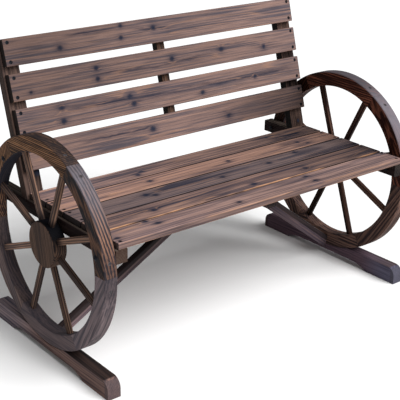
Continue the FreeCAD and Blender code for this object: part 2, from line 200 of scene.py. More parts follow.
def charred_fir_group():
    """Scorched and brushed fir, in board coordinates: X along the grain, Y across, Z through.

    Year rings are circles about the pith, radius / ring width, that wander along the grain and
    swing round knots. In each ring the tone climbs to dark late wood and drops again.
    Drawn-out noise gives lines, fibres and scorched streaks, and brushing bares a thin line
    at some rings' edges. Flanks may be darkened with painted shade, sawn ends take a plain tone,
    and the arrises low and high across the board may be worn to bare wood.
    """
    takes = {
        "Vector": ("Board", "Pith"),
        "Float": (
            "Seed", "Core", "Tail", "Pull", "Ring Width", "Stripe", "Thread", "Fine", "Scorch", "Gleam",
            "Half Length", "Half Width", "Half Depth", "End", "Flank Shade", "Low Wear", "High Wear",
        ),
        "Color": ("Pale", "Deep", "Char", "Bare", "End Tone", "Flank Tone"),
    }
    group, given = new_group("charred fir", takes, {"Color": ("Color",), "Float": ("Roughness", "Height")})

    apart = calc(group, "MULTIPLY", given["Seed"], 0.37)
    shift = add_node(group, "CombineXYZ", {0: given["Seed"], 1: apart}).outputs[0]
    place = vector(group, "ADD", given["Board"], shift)
    line = smooth(group, streaks(group, place, (2.4, 75.0, 75.0), 3.0), 0.38, 0.62)
    fine = smooth(group, streaks(group, place, (4.0, 210.0, 210.0), 2.0), 0.38, 0.62)
    fibre = streaks(group, place, (16.0, 700.0, 700.0), 2.0)
    scorch = smooth(group, streaks(group, place, (1.5, 26.0, 26.0), 4.0), 0.47, 0.62)
    blotch = streaks(group, place, (2.4, 9.0, 9.0), 2.0)

    wander = vector(group, "MULTIPLY", place, (0.9, 5.0, 5.0))
    wander = add_node(group, "TexNoise", {"Vector": wander, "Scale": 1.0, "Detail": 2.0}).outputs["Color"]
    wander = vector(group, "SUBTRACT", wander, (0.5, 0.5, 0.5))
    reach = vector(group, "SUBTRACT", given["Board"], given["Pith"])
    reach = vector(group, "MULTIPLY_ADD", wander, (0.0, 0.035, 0.035), reach)
    radius = vector(group, "LENGTH", vector(group, "MULTIPLY", reach, (0.0, 1.0, 1.0)))
    ring = calc(group, "ADD", calc(group, "DIVIDE", radius, given["Ring Width"]), given["Pull"])
    ring = calc(group, "MULTIPLY_ADD", calc(group, "MULTIPLY", line, given["Thread"]), 0.35, ring)
    climb = calc(group, "FRACT", ring)
    late = band(group, climb, (0.2, 0.8), (0.86, 1.0))

    dark = calc(group, "MULTIPLY_ADD", blotch, 1.5, -1.15)
    dark = calc(group, "MULTIPLY_ADD", late, given["Stripe"], dark)
    fine = calc(group, "MULTIPLY", fine, calc(group, "MULTIPLY", given["Fine"], 0.65))
    threads = calc(group, "MULTIPLY_ADD", line, 0.5, fine)
    dark = calc(group, "MULTIPLY_ADD", threads, given["Thread"], dark)
    dark = add_node(group, "Clamp", {0: dark}).outputs[0]
    colour = mix_colour(group, dark, given["Pale"], given["Deep"])
    char = calc(group, "MULTIPLY", scorch, calc(group, "MULTIPLY_ADD", late, 0.5, 0.55))
    char = calc(group, "MULTIPLY_ADD", char, given["Scorch"], given["Tail"])
    char = add_node(group, "Clamp", {0: char}).outputs[0]
    colour = mix_colour(group, char, colour, given["Char"])
    gleam = band(group, climb, (0.84, 0.92), (0.94, 1.0))
    gleam = calc(group, "MULTIPLY", gleam, smooth(group, blotch, 0.42, 0.56))
    gleam = calc(group, "MULTIPLY", gleam, given["Gleam"])
    colour = mix_colour(group, gleam, colour, given["Bare"])

    skin = (-0.0012, -0.0002)
    corner = (-0.004, 0.0)
    along, across, through = parts_of(group, given["Board"])
    end = calc(group, "SUBTRACT", calc(group, "ABSOLUTE", along), given["Half Length"])
    side = calc(group, "SUBTRACT", calc(group, "ABSOLUTE", across), given["Half Width"])
    face = calc(group, "SUBTRACT", calc(group, "ABSOLUTE", through), given["Half Depth"])
    # Painted shade: a share of each flank is darkened to the flank tone, for gaps between boards and sides
    # turned from the light.
    flank_shade = calc(group, "MULTIPLY", smooth(group, side, *skin), given["Flank Shade"])
    colour = mix_colour(group, flank_shade, colour, given["Flank Tone"])
    end = calc(group, "MULTIPLY", smooth(group, end, *skin), given["End"])
    colour = mix_colour(group, end, colour, given["End Tone"])
    arris = calc(group, "MULTIPLY", smooth(group, side, *corner), smooth(group, face, *corner))
    worn = smooth(group, streaks(group, place, (5.0, 9.0, 9.0), 3.0), 0.42, 0.56)
    worn = calc(group, "MULTIPLY", arris, worn)
    more = calc(group, "SUBTRACT", given["High Wear"], given["Low Wear"])
    wear = calc(group, "MULTIPLY_ADD", calc(group, "GREATER_THAN", across, 0.0), more, given["Low Wear"])
    colour = mix_colour(group, calc(group, "MULTIPLY", worn, wear), colour, given["Bare"])

    knot_black = (0.017, 0.020, 0.034, 1.0)
    shade = plain_grey(group, calc(group, "MULTIPLY_ADD", fibre, 1.1, 0.45))
    colour = mix_colour(group, 1.0, colour, shade, "MULTIPLY")
    colour = mix_colour(group, given["Core"], colour, knot_black)
    rough = calc(group, "MULTIPLY_ADD", late, -0.14, calc(group, "MULTIPLY_ADD", fibre, 0.25, 0.5))
    height = calc(group, "MULTIPLY_ADD", late, 0.45, calc(group, "MULTIPLY", fibre, 0.55))
    put_out(group, {"Color": colour, "Roughness": rough, "Height": height})
    return group


fir_knot = knot_group()
scorch_mark = scorch_group()
charred_fir = charred_fir_group()
# Black for charred sawn ends, and for painted shade on flanks.
char_and_shade_black = (0.006, 0.005, 0.005, 1.0)
endless = 9.0


def own_place(tree):
    """A point's place in the bench's own coordinates."""
    return add_node(tree, "TexCoord").outputs["Object"]


def board_material(name, centre, along, across, pith, seed, finish, half=(endless,) * 3, knots=(), marks=()):
    """Charred fir laid in a piece: grain along one direction from the piece's centre.

    The pith is given across and through the board. A knot is a place along the grain, a place
    across it and a size, and a scorch mark is two such places and a width, all in metres. Half
    the board's length, width and depth say where its ends, flanks and faces are.
    """
    material = bpy.data.materials.new(name)
    material.use_nodes = True
    tree = material.node_tree
    along, across = Vector(along).normalized(), Vector(across).normalized()
    turn = Matrix((along, across, along.cross(across))).transposed().to_euler()
    laid = {"Vector": own_place(tree), "Location": centre, "Rotation": turn}
    board = add_node(tree, "Mapping", laid, vector_type="TEXTURE").outputs[0]
    core, tail, pull = 0.0, 0.0, 0.0
    for x, y, size in knots:
        knot = placed(tree, fir_knot, {"Board": board, "Centre": (x, y, 0.0), "Size": size})
        core = calc(tree, "MAXIMUM", core, knot["Core"])
        tail = calc(tree, "MAXIMUM", tail, knot["Tail"])
        pull = calc(tree, "MULTIPLY_ADD", knot["Pull"], 0.4, pull)
    for start_x, start_y, finish_x, finish_y, width in marks:
        ends = {"Start": (start_x, start_y, 0.0), "Finish": (finish_x, finish_y, 0.0)}
        mark = placed(tree, scorch_mark, {"Board": board, "Width": width, **ends})
        tail = calc(tree, "MAXIMUM", tail, mark["Mark"])
    given = {
        "Board": board, "Pith": (0.0, *pith), "Seed": seed, "Core": core, "Tail": tail, "Pull": pull,
        "Half Length": half[0], "Half Width": half[1], "Half Depth": half[2],
        "Thread": 1.0, "Fine": 1.0, "End Tone": char_and_shade_black, "Flank Tone": char_and_shade_black, **finish,
    }
    wood = placed(tree, charred_fir, given)
    bump = add_node(tree, "Bump", {"Height": wood["Height"], "Strength": 0.6, "Distance": 0.0008})
    shader = tree.nodes["Principled BSDF"].inputs
    shader["Specular IOR Level"].default_value = 0.03
    tree.links.new(wood["Color"], shader["Base Color"])
    tree.links.new(wood["Roughness"], shader["Roughness"])
    tree.links.new(bump.outputs[0], shader["Normal"])
    return material


def wood_in(material):
    """A board's node tree, its shader's colour socket and its charred fir."""
    tree = material.node_tree
    base = tree.nodes["Principled BSDF"].inputs["Base Color"]
    return tree, base, base.links[0].from_node


def shaded(colour, strength):
    """A colour made lighter or darker."""
    return (*(strength * part for part in colour[:3]), 1.0)


def dress(node, material):
    """Gives a carried-over piece its finish."""
    nodes[node].data.materials.clear()
    nodes[node].data.materials.append(material)


wheel_middle_x = 0.50675
wheel_height = 0.304
rim_radius = 0.270
rim_width = 0.041
rim_thickness = 0.0365
rim_middle_radius = rim_radius - rim_width / 2
tread_begins = (rim_radius - 0.0028, rim_radius - 0.0008)
inside_begins = (rim_radius - rim_width + 0.0022, rim_radius - rim_width + 0.0004)
face_begins = (rim_thickness / 2 - 0.00205, rim_thickness / 2 - 0.00025)


def wheel_group():
    """Where a point lies on its wheel, and its shares of the rim's tread, inner curve and faces.

    The radius is the root of the depth squared plus the rise above the axle squared. The tread and
    the inner curve set in at a radius, and the faces at a distance from the rim's middle plane.
    """
    gives = {"Float": ("Depth", "Height", "Radius", "Tread", "Inside", "Face")}
    group, given = new_group("place on wheel", {"Vector": ("Place",)}, gives)
    width, depth, height = parts_of(group, given["Place"])
    rise = calc(group, "SUBTRACT", height, wheel_height)
    square = calc(group, "MULTIPLY_ADD", depth, depth, calc(group, "MULTIPLY", rise, rise))
    radius = calc(group, "SQRT", square)
    beside = calc(group, "SUBTRACT", calc(group, "ABSOLUTE", width), wheel_middle_x)
    put_out(group, {
        "Depth": depth, "Height": height, "Radius": radius,
        "Tread": smooth(group, radius, *tread_begins), "Inside": smooth(group, radius, *inside_begins),
        "Face": smooth(group, calc(group, "ABSOLUTE", beside), *face_begins),
    })
    return group


def rim_weather_and_sheen_group():
    """Weather, painted sheen and char over the wood of a felloe, whose faces are shaded first.

    Grey, which is partly weather and partly painted sheen, sets in on the tread between two heights,
    lightens from the top towards the front, lies in patches and is rubbed off the dark ridges by a
    share. Char blackens the tread at the height of the hub, and the inner curve by one share low on
    the wheel and another above the seat.
    """
    takes = {
        "Vector": ("Place",), "Color": ("Wood", "Grey"),
        "Float": (
            "Ridge", "Depth", "Height", "Tread", "Inside", "Face", "Face Shade", "Cover", "Rubbed",
            "Grey From", "Grey Full", "Front Char", "Low Char", "High Char",
        ),
    }
    group, given = new_group("rim weather and painted sheen", takes, {"Color": ("Color",)})
    height, tread = given["Height"], given["Tread"]
    shade = plain_grey(group, given["Face Shade"])
    colour = mix_colour(group, given["Face"], given["Wood"], shade, "MULTIPLY")

    to_front = (-0.075, -0.19)
    light = plain_grey(group, ramp(group, given["Depth"], to_front, 0.44, 1.0))
    grey = mix_colour(group, 1.0, given["Grey"], light, "MULTIPLY")
    patches = calc(group, "MULTIPLY_ADD", cloud(group, given["Place"], 45.0, 4.0), 0.45, given["Cover"])
    ridge = smooth(group, given["Ridge"], 0.40, 0.62)
    unrubbed = calc(group, "SUBTRACT", 1.0, calc(group, "MULTIPLY", ridge, given["Rubbed"]))
    share = calc(group, "MULTIPLY", tread, smooth(group, height, given["Grey From"], given["Grey Full"]))
    share = calc(group, "MULTIPLY", calc(group, "MULTIPLY", share, patches), unrubbed)
    colour = mix_colour(group, share, colour, grey)

    below_hub, above_hub = (0.235, 0.275), (0.34, 0.41)
    tread_black = (0.018, 0.016, 0.020, 1.0)
    front = calc(group, "MULTIPLY", band(group, height, below_hub, above_hub), tread)
    colour = mix_colour(group, calc(group, "MULTIPLY", front, given["Front Char"]), colour, tread_black)
    at_seat = (0.355, 0.390)
    inside_black = (0.018, 0.020, 0.029, 1.0)
    inner = ramp(group, height, at_seat, given["Low Char"], given["High Char"])
    colour = mix_colour(group, calc(group, "MULTIPLY", inner, given["Inside"]), colour, inside_black)
    put_out(group, {"Color": colour})
    return group


place_on_wheel = wheel_group()
rim_weather_and_sheen = rim_weather_and_sheen_group()


def weather_and_sheen_rim(material, weather_and_sheen):
    """Puts weather and painted sheen over a felloe's wood.

    Where the wood's thread is under one, its faces have fainter stripes and more threads than its tread.
    """
    tree, base, wood = wood_in(material)
    place = own_place(tree)
    wheel = placed(tree, place_on_wheel, {"Place": place})
    stripe = wood.inputs["Stripe"].default_value
    thread = wood.inputs["Thread"].default_value
    face_stripe = calc(tree, "MULTIPLY_ADD", wheel["Face"], stripe * (thread - 1.0), stripe)
    face_thread = calc(tree, "MULTIPLY_ADD", wheel["Face"], 1.0 - thread, thread)
    tree.links.new(face_stripe, wood.inputs["Stripe"])
    tree.links.new(face_thread, wood.inputs["Thread"])
    given = {name: wheel[name] for name in ("Depth", "Height", "Tread", "Inside", "Face")}
    given.update({"Place": place, "Wood": wood.outputs["Color"], "Ridge": wood.outputs["Height"], **weather_and_sheen})
    tree.links.new(placed(tree, rim_weather_and_sheen, given)["Color"], base)
    return material


def on_wheel(way, radius, angle):
    """A place in a wheel's middle plane, at a radius and an angle up from the back."""
    return way * wheel_middle_x, radius * math.cos(angle), wheel_height + radius * math.sin(angle)


golden_fir = {
    "Ring Width": 0.0042, "Stripe": 1.5, "Scorch": 0.4,
    "Pale": (0.39, 0.196, 0.100, 1.0), "Deep": (0.028, 0.016, 0.012, 1.0),
    "Char": (0.018, 0.015, 0.017, 1.0), "Bare": (0.30, 0.165, 0.085, 1.0),
}
striped_fir = {
    "Ring Width": 0.0080, "Stripe": 1.35, "Thread": 0.65, "Fine": 1.5, "Scorch": 0.15,
    "Pale": (0.228, 0.120, 0.080, 1.0), "Deep": (0.028, 0.025, 0.029, 1.0),
    "Char": (0.020, 0.018, 0.023, 1.0), "Bare": (0.26, 0.135, 0.085, 1.0),
}
grey_fir = {
    "Ring Width": 0.0070, "Stripe": 0.4, "Scorch": 0.45,
    "Pale": (0.116, 0.086, 0.088, 1.0), "Deep": (0.058, 0.048, 0.054, 1.0),
    "Char": (0.036, 0.035, 0.046, 1.0), "Bare": (0.20, 0.125, 0.085, 1.0),
}
streaked_grey_fir = {
    **grey_fir, "Stripe": 0.6,
    "Pale": (0.138, 0.105, 0.110, 1.0), "Deep": (0.052, 0.044, 0.050, 1.0),
}
brown_grey_fir = {
    **grey_fir, "Stripe": 0.6, "Scorch": 0.6,
    "Pale": (0.138, 0.094, 0.084, 1.0), "Deep": (0.050, 0.038, 0.038, 1.0),
}
red_fir = {
    "Ring Width": 0.0065, "Stripe": 0.9, "Scorch": 0.8,
    "Pale": (0.22, 0.080, 0.050, 1.0), "Deep": (0.030, 0.011, 0.009, 1.0),
    "Char": (0.012, 0.008, 0.008, 1.0), "Bare": (0.18, 0.080, 0.050, 1.0),
}
umber_fir = {**red_fir, "Pale": (0.140, 0.080, 0.062, 1.0), "Deep": (0.028, 0.018, 0.019, 1.0)}
# A grey for weathered wood that also stands in for the tread's sheen, as painted sheen.
weather_and_sheen_grey = (0.125, 0.116, 0.134)

# Each rim has its way out from the bench's middle, its first joint's angle, its weather and painted
# sheen, and its felloes: their wood, the lightness of the tread's grey, the grey's cover and the faces'
# shade.
rims = {
    "left": (
        -1, -2.0,
        {"Grey From": 0.39, "Grey Full": 0.53, "Rubbed": 0.5,
         "Front Char": 0.56, "Low Char": 0.4, "High Char": 0.95},
        (
            (golden_fir, 1.0, 0.5, 0.75), (golden_fir, 0.33, 0.65, 0.67), (striped_fir, 1.14, 0.64, 0.50),
            (streaked_grey_fir, 0.7, 0.5, 1.32), (grey_fir, 1.0, 0.5, 1.10), (brown_grey_fir, 1.0, 0.5, 1.2),
        ),
    ),
    "right": (
        1, 0.5,
        {"Grey From": 0.35, "Grey Full": 0.46, "Rubbed": 0.0,
         "Front Char": 0.0, "Low Char": 0.1, "High Char": 0.35},
        (
            (red_fir, 1.0, 0.5, 0.2), (red_fir, 1.40, 0.6, 1.0), (red_fir, 1.26, 0.6, 0.75),
            (umber_fir, 1.0, 0.5, 0.8), (umber_fir, 1.0, 0.5, 0.95), (umber_fir, 1.0, 0.5, 0.95),
        ),
    ),
}
felloe_angle = 60
pith_distance = 0.16
ring_slants = (35, 22, 82, 60, 45, 50)
run_outs = (0.02, -0.03, 0.075, -0.02, 0.03, -0.01)
for side, (way, first_angle, weather_and_sheen, felloes) in rims.items():
    for index, (finish, tread, cover, face_shade) in enumerate(felloes):
        angle = math.radians(first_angle + felloe_angle * (index + 0.5))
        out = (0.0, math.cos(angle), math.sin(angle))
        along = (run_outs[index], -math.sin(angle), math.cos(angle))
        slant = math.radians(ring_slants[index])
        pith = (-pith_distance * math.cos(slant), pith_distance * math.sin(slant))
        seed = 3.1 * index + 20 * way + 41
        name = f"{side}_felloe_{index + 1}"
        wood = board_material(name, on_wheel(way, rim_middle_radius, angle), along, out, pith, seed, finish)
        own = {"Grey": shaded(weather_and_sheen_grey, tread), "Cover": cover, "Face Shade": face_shade}
        dress(name, weather_and_sheen_rim(wood, {**weather_and_sheen, **own}))

# Spokes and hubs. Straight fir sticks with rounded edges, tenoned into the rim and into a plain
# solid hub as thick as the rim. The hub is sawn from a wide board, so its face shows long grain,
# and its round edge and the spokes' feet above it are charred black, with painted shade over them
# that is deepest above the axle, under the seat.


def toned(finish, strength):
    """A finish with its wood colours made lighter or darker."""
    lit = {name: shaded(finish[name], strength) for name in ("Pale", "Deep", "Char", "Bare")}
    return {**finish, **lit}


def hub_soot_and_shade_group():
    """Soot and painted shade between two distances from the axle, most above it, where the flame went
    up and the seat shades it.
    """
    takes = {"Color": ("Wood",), "Float": ("Height", "Radius", "Clear", "Full", "Share")}
    group, given = new_group("hub soot and painted shade", takes, {"Color": ("Color",)})
    above_axle = (0.29, 0.34)
    soot_and_shade = (0.0035, 0.0035, 0.0050, 1.0)
    near = smooth(group, given["Radius"], given["Clear"], given["Full"])
    # The share climbs above the axle: painted shade under the seat as well as soot.
    char = calc(group, "MULTIPLY", ramp(group, given["Height"], above_axle, 0.15, 1.0), given["Share"])
    put_out(group, {"Color": mix_colour(group, calc(group, "MULTIPLY", near, char), given["Wood"], soot_and_shade)})
    return group


hub_soot_and_shade = hub_soot_and_shade_group()


def soot_and_shade_round_hub(material, reach):
    """Puts soot and painted shade over a spoke's or a hub's wood, as far as the reach says."""
    tree, base, wood = wood_in(material)
    wheel = placed(tree, place_on_wheel, {"Place": own_place(tree)})
    given = {"Wood": wood.outputs["Color"], "Height": wheel["Height"], "Radius": wheel["Radius"], **reach}
    tree.links.new(placed(tree, hub_soot_and_shade, given)["Color"], base)
    return material


brown_fir = {
    **golden_fir, "Ring Width": 0.0050, "Scorch": 0.75,
    "Pale": (0.155, 0.090, 0.062, 1.0), "Deep": (0.030, 0.021, 0.019, 1.0),
}
black_red_fir = {
    **red_fir, "Ring Width": 0.0050,
    "Pale": (0.13, 0.066, 0.046, 1.0), "Deep": (0.022, 0.013, 0.013, 1.0),
}
# Each side has its way, first spoke's angle, wood and a tone for each spoke; the left wheel's second spoke
# is made lighter as a painted highlight.
spokes = (
    ("left", -1, 22.5, brown_fir, (1.2, 1.75, 1.4, 1.5, 1.05, 0.8, 1.3, 2.7)),
    ("right", 1, 25.0, black_red_fir, (1.0, 1.1, 1.15, 0.9, 0.75, 0.55, 0.22, 1.0)),
)
spoke_angle = 45
spoke_middle_radius = 0.145
spoke_foot = {"Clear": 0.092, "Full": 0.064, "Share": 0.85}
hub_edge = {"Clear": 0.0565, "Full": 0.0592, "Share": 1.0}
spoke_pith, hub_pith = (-0.06, 0.05), (-0.11, 0.05)
hub_along, hub_across = (0, 0.18, 1), (0, 1, -0.18)
hub_tone = 0.9
for side, way, first_angle, finish, tones in spokes:
    for index, tone in enumerate(tones):
        angle = math.radians(first_angle + spoke_angle * index)
        along = (0.0, math.cos(angle), math.sin(angle))
        across = (0.0, -math.sin(angle), math.cos(angle))
        centre = on_wheel(way, spoke_middle_radius, angle)
        seed = 1.7 * index + 9 * way + 80
        name = f"{side}_spoke_{index + 1}"
        wood = board_material(name, centre, along, across, spoke_pith, seed, toned(finish, tone))
        dress(name, soot_and_shade_round_hub(wood, spoke_foot))
    name = side + "_hub"
    axle = on_wheel(way, 0.0, 0.0)
    seed = 5.3 * way + 60
    wood = board_material(name, axle, hub_along, hub_across, hub_pith, seed, toned(finish, hub_tone))
    dress(name, soot_and_shade_round_hub(wood, hub_edge))

# Felloe dowels. Plain beech pins across the rim's joints, half in each felloe and held by the felloe
# screws. They are out of sight once the wheel is together.

beech = {
    "Ring Width": 0.003, "Stripe": 0.3, "Scorch": 0.0,
    "Pale": (0.42, 0.28, 0.16, 1.0), "Deep": (0.34, 0.21, 0.11, 1.0),
    "Char": (0.1, 0.08, 0.06, 1.0), "Bare": (0.42, 0.28, 0.16, 1.0),
}
axle = (0, 0, wheel_height)
dress("felloe_dowels", board_material("felloe_dowels", axle, (0, 1, 0), (0, 0, 1), (0.02, 0.1), 3.0, beech))

# Felloe screws. Countersunk steel screws driven in from the tread on both sides of each joint,
# through the dowel; their heads were stained over with the wood and hardly show.


def fasteners(name, heads, outs, rings, recess, material, around=32):
    """Screws or bolts: a profile of rings spun about each fastener's own axis.

    Ring i lies at radius r and depth d below the head's face, so a point is the head's place
    plus r times (cosine, sine) across the axis minus (d + recess depth) along it. All heads may
    look one way out, or each its own way.
    """
    heads, rings = np.asarray(heads, dtype=float), np.asarray(rings, dtype=float)
    outs = np.broadcast_to(np.asarray(outs, dtype=float), heads.shape)
    count, depth = len(heads), len(rings)
    side = np.cross(outs, np.where(np.abs(outs[:, :1]) > 0.9, (0.0, 1.0, 0.0), (1.0, 0.0, 0.0)))
    side /= np.linalg.norm(side, axis=1)[:, None]
    front = np.cross(outs, side)
    angle = np.linspace(0.0, 2 * np.pi, around, endpoint=False)[None, :]
    radius = rings[:, :1] + 0 * angle
    sunk = rings[:, 1:] + recess(radius, angle)
    points = heads[:, None, None, :] + side[:, None, None, :] * (radius * np.cos(angle))[None, :, :, None]
    points = points + front[:, None, None, :] * (radius * np.sin(angle))[None, :, :, None]
    points = points - outs[:, None, None, :] * sunk[None, :, :, None]
    crown = heads - outs * sunk[0, 0]
    point = heads - outs * (rings[-1, 1] + rings[-1, 0])
    corners = np.concatenate([points.reshape(count, -1, 3), crown[:, None], point[:, None]], axis=1)

    row, column = np.meshgrid(np.arange(depth - 1), np.arange(around), indexing="ij")
    after = (column + 1) % around
    upper, lower = row * around, (row + 1) * around
    walls = np.stack([upper + column, lower + column, lower + after, upper + after], axis=-1)
    edge = np.arange(around)
    after = (edge + 1) % around
    last = (depth - 1) * around
    caps = np.concatenate([
        np.stack([0 * edge + depth * around, edge, after], axis=-1),
        np.stack([0 * edge + depth * around + 1, last + after, last + edge], axis=-1),
    ])
    step = np.arange(count)[:, None, None] * (depth * around + 2)
    walls = (walls.reshape(1, -1, 4) + step).reshape(-1, 4)
    caps = (caps[None] + step).reshape(-1, 3)
    mesh = bpy.data.meshes.new(name)
    mesh.from_pydata(corners.reshape(-1, 3).tolist(), [], walls.tolist() + caps.tolist())
    mesh.materials.append(material)
    piece = bpy.data.objects.new(name, mesh)
    bpy.context.scene.collection.objects.link(piece)
    return piece


def screw_rings(length):
    """A flat countersunk head 9.5 mm across, its cone, and a 4 mm shank."""
    face = [(share * 0.00475, 0.0) for share in (0.2, 0.36, 0.52, 0.6, 0.66, 0.85)]
    cone = [(0.00465, 0.0001), (0.00465, 0.0003), (0.002, 0.0026)]
    return face + cone + [(0.002, length - 0.006), (0.0006, length - 0.001)]


def cross_recess(radius, angle):
    """A cross cut into the head: arms 1.5 mm wide and 2.9 mm long, 1.4 mm deep and rising outwards."""
    nearest = np.minimum(np.abs(radius * np.cos(angle)), np.abs(radius * np.sin(angle)))
    return np.where((nearest < 0.00075) & (radius < 0.0029), 0.0014 - radius * 0.2, 0.0)


def steel_group():
    """The skin of coated or stained steel: a cloudy tone and gloss over a fine grit."""
    takes = {"Vector": ("Place",), "Color": ("Dark", "Light"), "Float": ("Rough",)}
    group, given = new_group("steel skin", takes, {"Color": ("Color",), "Float": ("Roughness", "Grit")})
    patches = cloud(group, given["Place"], 320.0, 3.0)
    colour = mix_colour(group, smooth(group, patches, 0.35, 0.65), given["Dark"], given["Light"])
    rough = calc(group, "MULTIPLY_ADD", patches, 0.3, given["Rough"])
    put_out(group, {"Color": colour, "Roughness": rough, "Grit": cloud(group, given["Place"], 2600.0, 2.0)})
    return group


steel_skin = steel_group()


def metal(name, dark, light, rough):
    """Steel with the dark and light tones of its skin and its least roughness."""
    material = bpy.data.materials.new(name)
    material.use_nodes = True
    tree = material.node_tree
    shader = tree.nodes["Principled BSDF"].inputs
    skin = placed(tree, steel_skin, {"Place": own_place(tree), "Dark": dark, "Light": light, "Rough": rough})
    bump = add_node(tree, "Bump", {"Height": skin["Grit"], "Strength": 0.25, "Distance": 0.0001})
    tree.links.new(skin["Color"], shader["Base Color"])
    tree.links.new(skin["Roughness"], shader["Roughness"])
    tree.links.new(bump.outputs[0], shader["Normal"])
    shader["Metallic"].default_value = 0.85
    return material


stained_steel = metal("stained_steel", (0.066, 0.058, 0.062, 1.0), (0.122, 0.109, 0.116, 1.0), 0.6)
black_steel = metal("black_steel", (0.004, 0.005, 0.008, 1.0), (0.014, 0.016, 0.022, 1.0), 0.4)
head_sink = 0.0006
beside_joint = (-7.5, 7.5)
pins = np.radians([
    first_angle + felloe_angle * joint + beside
    for _, first_angle, _, _ in rims.values() for joint in range(6) for beside in beside_joint
])
pin_outs = np.stack([0 * pins, np.cos(pins), np.sin(pins)], axis=1)
pin_heads = pin_outs * (rim_radius - head_sink) + (0.0, 0.0, wheel_height)
pin_heads[:, 0] = np.repeat((-wheel_middle_x, wheel_middle_x), len(pins) // 2)
felloe_screws = fasteners(
    "felloe_screw_heads", pin_heads, pin_outs, screw_rings(0.025), cross_recess, stained_steel)
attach(felloe_screws, "root")
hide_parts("felloe_screws")

# Runner feet. Thick fir runners with rounded noses and an arched underside; each has a cradle
# that takes the bottom of the rim, and two screws from below hold the two together.


def runner_shade_and_tint_group():
    """Where a runner's front, with its painted shade, passes, between two depths, into the tinted wood
    behind it.

    The painted shade on its top and underside is a share at the front and falls to none behind.
    """
    takes = {"Vector": ("Place",), "Float": ("Begin", "End", "Front")}
    group, given = new_group("runner painted shade and tint", takes, {"Float": ("Flank Shade", "Behind")})
    _, depth, _ = parts_of(group, given["Place"])
    behind = smooth(group, depth, given["Begin"], given["End"])
    flank_shade = calc(group, "MULTIPLY", calc(group, "SUBTRACT", 1.0, behind), given["Front"])
    put_out(group, {"Flank Shade": flank_shade, "Behind": behind})
    return group


runner_shade_and_tint = runner_shade_and_tint_group()


def shade_and_tint_runner(material, turn, front, tint):
    """Paints shade on the front of a runner's top and underside by a share, and tints the wood behind it."""
    tree, base, wood = wood_in(material)
    given = {"Place": own_place(tree), "Begin": turn[0], "End": turn[1], "Front": front}
    char = placed(tree, runner_shade_and_tint, given)
    tree.links.new(char["Flank Shade"], wood.inputs["Flank Shade"])
    tree.links.new(mix_colour(tree, char["Behind"], wood.outputs["Color"], tint, "MULTIPLY"), base)
    return material


dark_fir = {
    "Ring Width": 0.0060, "Stripe": 0.7, "Scorch": 0.6,
    "Pale": (0.122, 0.082, 0.070, 1.0), "Deep": (0.036, 0.029, 0.036, 1.0),
    "Char": (0.010, 0.010, 0.016, 1.0), "Bare": (0.16, 0.100, 0.070, 1.0),
}
brown_runner = {
    **dark_fir, "Stripe": 0.45, "Thread": 0.8, "End": 0.75,
    "Pale": (0.180, 0.110, 0.093, 1.0), "Deep": (0.042, 0.033, 0.038, 1.0),
    "End Tone": (0.074, 0.055, 0.058, 1.0),
}
blue_runner = {
    **brown_runner,
    "Pale": (0.092, 0.085, 0.126, 1.0), "Deep": (0.035, 0.036, 0.062, 1.0),
    "End Tone": (0.060, 0.058, 0.074, 1.0), "Flank Tone": (0.075, 0.035, 0.005, 1.0),
}
# Each runner has its side, way, wood, the depths where its front turns to its rear, its front's share of
# painted shade and the tint behind. The left runner's tint also lifts its rear out of the wheel's shadow as
# painted light, and makes it bluer.
runners = (
    ("left", -1, brown_runner, (0.0, 0.18), 0.82, (1.6, 2.0, 2.45, 1.0)),
    ("right", 1, blue_runner, (-0.24, -0.13), 0.4, (0.97, 0.67, 0.57, 1.0)),
)
runner_middle_height = 0.024
runner_half = (0.262, 0.0242, 0.01825)
runner_pith = (-0.05, 0.04)
for side, way, finish, turn, front, tint in runners:
    name = side + "_foot"
    centre = (way * wheel_middle_x, 0.0, runner_middle_height)
    seed = 7.7 * way + 30
    wood = board_material(name, centre, (0, 1, 0), (0, 0, 1), runner_pith, seed, finish, runner_half)
    dress(name, shade_and_tint_runner(wood, turn, front, tint))
foot_head_height = 0.0162
foot_head_depths = (-0.04, 0.04)
foot_heads = [
    (way * wheel_middle_x, depth, foot_head_height)
    for way in (-1, 1) for depth in foot_head_depths
]
downwards = (0.0, 0.0, -1.0)
foot_screws = fasteners(
    "foot_screw_heads", foot_heads, downwards, screw_rings(0.046), cross_recess, black_steel)
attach(foot_screws, "root")
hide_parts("foot_screws")

# Seat rails and the middle bearer. Square fir bars under the planks: the rails are bolted to the
# wheels' inner faces, and the bearer ties the planks together at mid span.


def middle_and_half(low, high):
    """The middle of a box and half its size, from its lowest and highest corners."""
    return [(a + b) / 2 for a, b in zip(low, high)], [(b - a) / 2 for a, b in zip(low, high)]


# The rails' flanks are painted near black, as painted shade under the seat.
rail_fir = {
    **dark_fir, "End": 0.85, "Flank Shade": 0.95, "Flank Tone": (0.0085, 0.0038, 0.0042, 1.0),
    "Pale": (0.170, 0.132, 0.108, 1.0), "Deep": (0.050, 0.038, 0.034, 1.0),
    "Char": (0.004, 0.003, 0.003, 1.0),
}
brown_end = (0.040, 0.023, 0.017, 1.0)
black_end = (0.006, 0.005, 0.006, 1.0)
rail_pith, bearer_pith = (-0.04, 0.03), (0.01, -0.05)
for name, seed, end_tone in (("left_rail", 45.9, brown_end), ("right_rail", 54.1, black_end)):
    centre, half = middle_and_half(*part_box(name))
    half = (half[1], half[0], half[2])
    finish = {**rail_fir, "End Tone": end_tone}
    dress(name, board_material(name, centre, (0, 1, 0), (1, 0, 0), rail_pith, seed, finish, half))
bearer_fir = {**dark_fir, "End": 0.8}
bearer_half_width, bearer_half_depth = 0.015, 0.009
centre, half = middle_and_half(*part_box("centre_bearer"))
half = (half[1], bearer_half_width, bearer_half_depth)
wood = board_material("centre_bearer", centre, (0, 1, 0), (1, 0, 0), bearer_pith, 91.0, bearer_fir, half)
